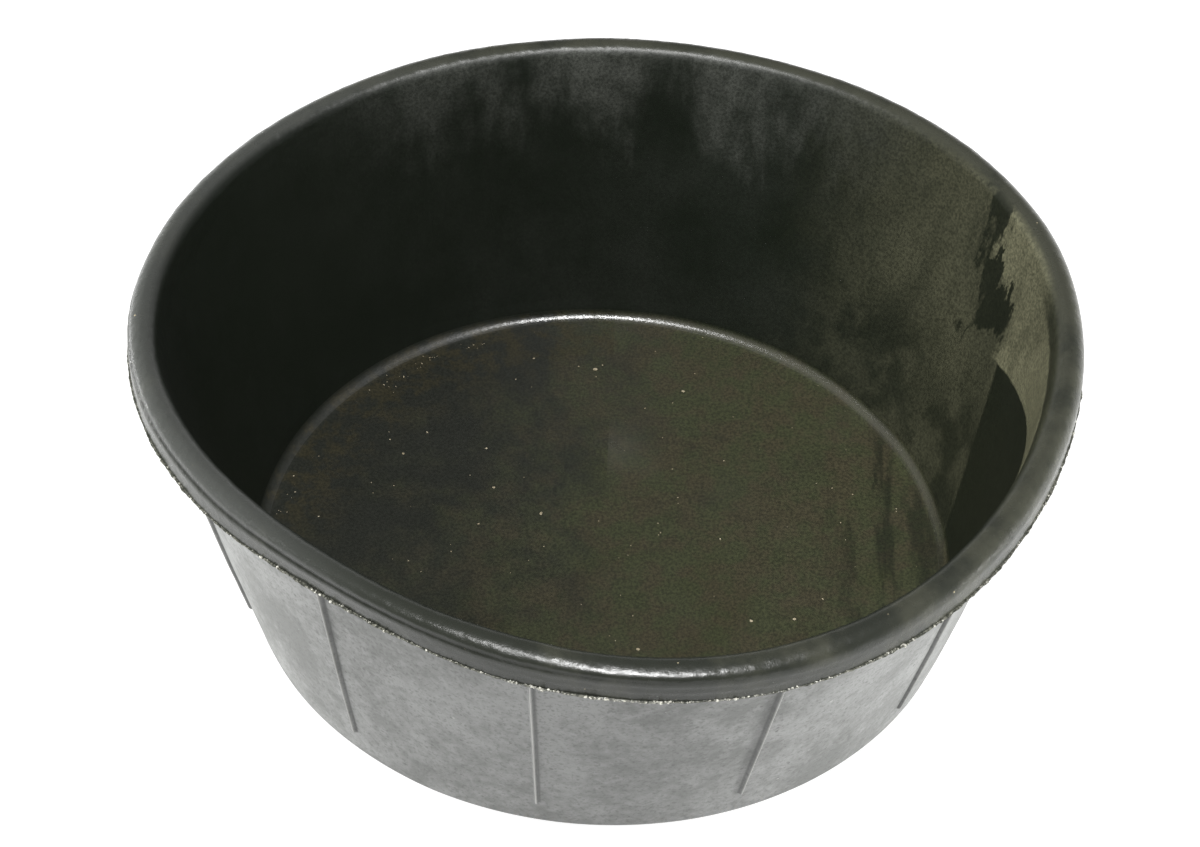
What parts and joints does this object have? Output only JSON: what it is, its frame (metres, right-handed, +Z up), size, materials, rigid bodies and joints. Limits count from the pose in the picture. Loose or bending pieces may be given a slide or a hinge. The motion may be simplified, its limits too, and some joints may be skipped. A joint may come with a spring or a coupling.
{
  "type": "mortar mixing tub",
  "caption": "Round moulded-rubber tub with tapered ribbed wall, flat floor and thick rim bead, for mixing mortar by hand.",
  "frame": {"origin": "centre of the tub's underside, on the ground", "axes": "+Z up, out of the tub's mouth; -Y is the front, the side nearest the viewer; the first rib stands 7.5 degrees from -Y, towards -X"},
  "size_m": [0.6668, 0.6549, 0.2471],
  "materials": {
    "floor_rubber": "worn semi-matt black rubber with an olive-brown film and dried mortar specks",
    "inner_rubber": "smooth satin black rubber",
    "wall_rubber": "satin black inside, dusty grey bloom outside",
    "rim_rubber": "handled satin black rubber",
    "flash_rubber": "torn matt rubber edge"
  },
  "bodies": {
    "root": {"floor_disc": "floor_rubber", "corner_band": "inner_rubber", "side_wall": "wall_rubber", "rim_bead": "rim_rubber", "rim_flash": "flash_rubber"}
  },
  "joints": []
}
